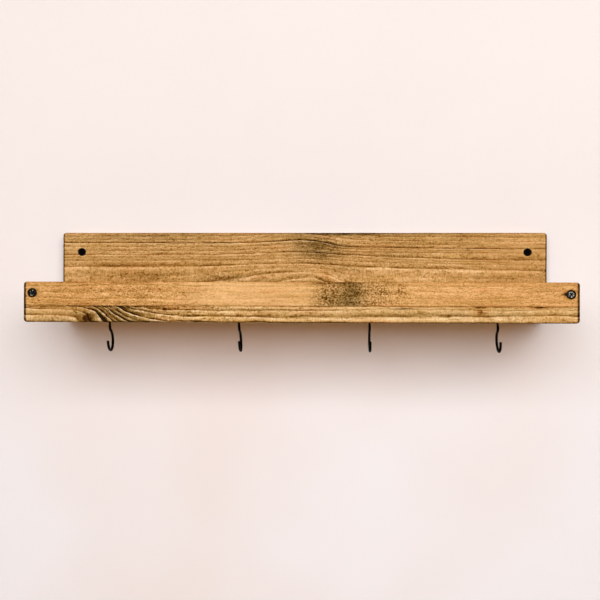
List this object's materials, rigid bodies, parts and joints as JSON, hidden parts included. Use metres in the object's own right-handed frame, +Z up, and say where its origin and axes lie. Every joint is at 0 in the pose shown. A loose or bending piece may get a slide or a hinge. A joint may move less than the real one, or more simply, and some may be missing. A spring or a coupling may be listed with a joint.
{
  "type": "wall shelf",
  "caption": "Wall shelf of stained softwood: upright back board, shelf board with a front lip and side rails, and black screw hooks underneath for cups or keys.",
  "frame": {"origin": "on the wall, behind the back board, half way between the two wall screws", "axes": "+Y runs into the wall, +X to the right along the shelf as seen from the front, +Z up"},
  "size_m": [0.6, 0.1956, 0.1439],
  "materials": {
    "back_pine": "stained and waxed, matt",
    "shelf_pine": "stained and waxed, matt",
    "lip_pine": "stained and waxed, matt",
    "rail_pine": "stained and waxed, matt",
    "hook_steel": "black, satin",
    "wall_screw_steel": "black phosphate, dull",
    "lip_screw_steel": "dark blued steel, worn",
    "zinc_steel": "plain zinc"
  },
  "bodies": {
    "root": {"back_board": "back_pine", "shelf_board": "shelf_pine", "front_lip": "lip_pine", "side_rail_left": "rail_pine", "side_rail_right": "rail_pine", "hook_1": "hook_steel", "hook_2": "hook_steel", "hook_3": "hook_steel", "hook_4": "hook_steel", "lip_screw_left": "lip_screw_steel", "lip_screw_right": "lip_screw_steel", "wall_screw_left": "wall_screw_steel", "wall_screw_right": "wall_screw_steel", "board_screw_1": "zinc_steel", "board_screw_2": "zinc_steel", "board_screw_3": "zinc_steel", "board_screw_4": "zinc_steel", "rail_screw_left": "zinc_steel", "rail_screw_right": "zinc_steel", "base_screw_left": "zinc_steel", "base_screw_right": "zinc_steel"}
  },
  "joints": []
}
